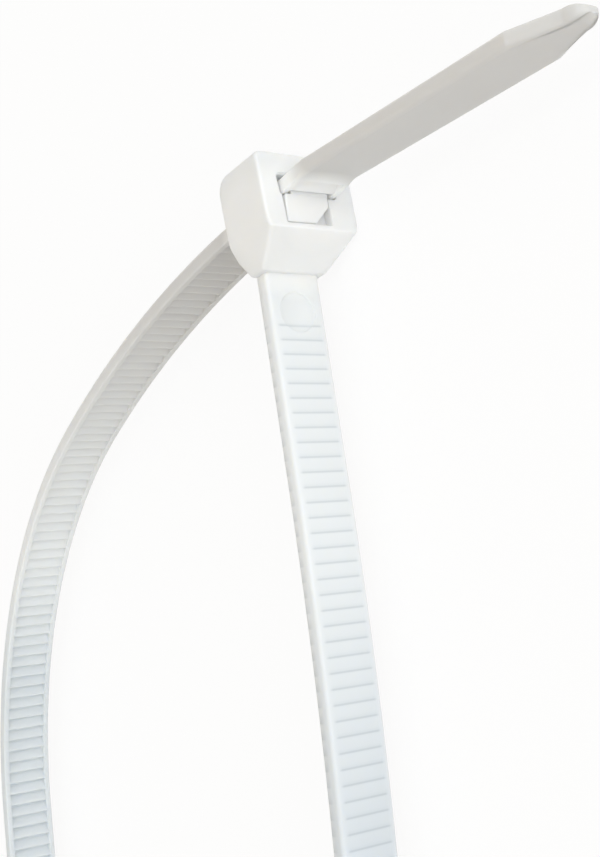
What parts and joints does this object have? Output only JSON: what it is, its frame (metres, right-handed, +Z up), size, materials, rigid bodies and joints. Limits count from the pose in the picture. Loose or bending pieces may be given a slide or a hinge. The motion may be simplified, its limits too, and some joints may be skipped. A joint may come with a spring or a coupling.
{
  "type": "cable tie",
  "caption": "Self-locking nylon cable tie closed into a loose loop, with its tail through the ratchet head and a pawl that locks on the strap's teeth.",
  "frame": {"origin": "on the head's side face, under the middle of the passage, where the tie rests", "axes": "+Z up, across the strap's width; +X the way that the tail leaves the head; -Y the way that the strap leaves its root"},
  "size_m": [0.0935, 0.0913, 0.0082],
  "materials": {
    "nylon": "natural translucent nylon, softly glossy"
  },
  "bodies": {
    "root": {"cable_tie": "nylon"}
  },
  "joints": []
}
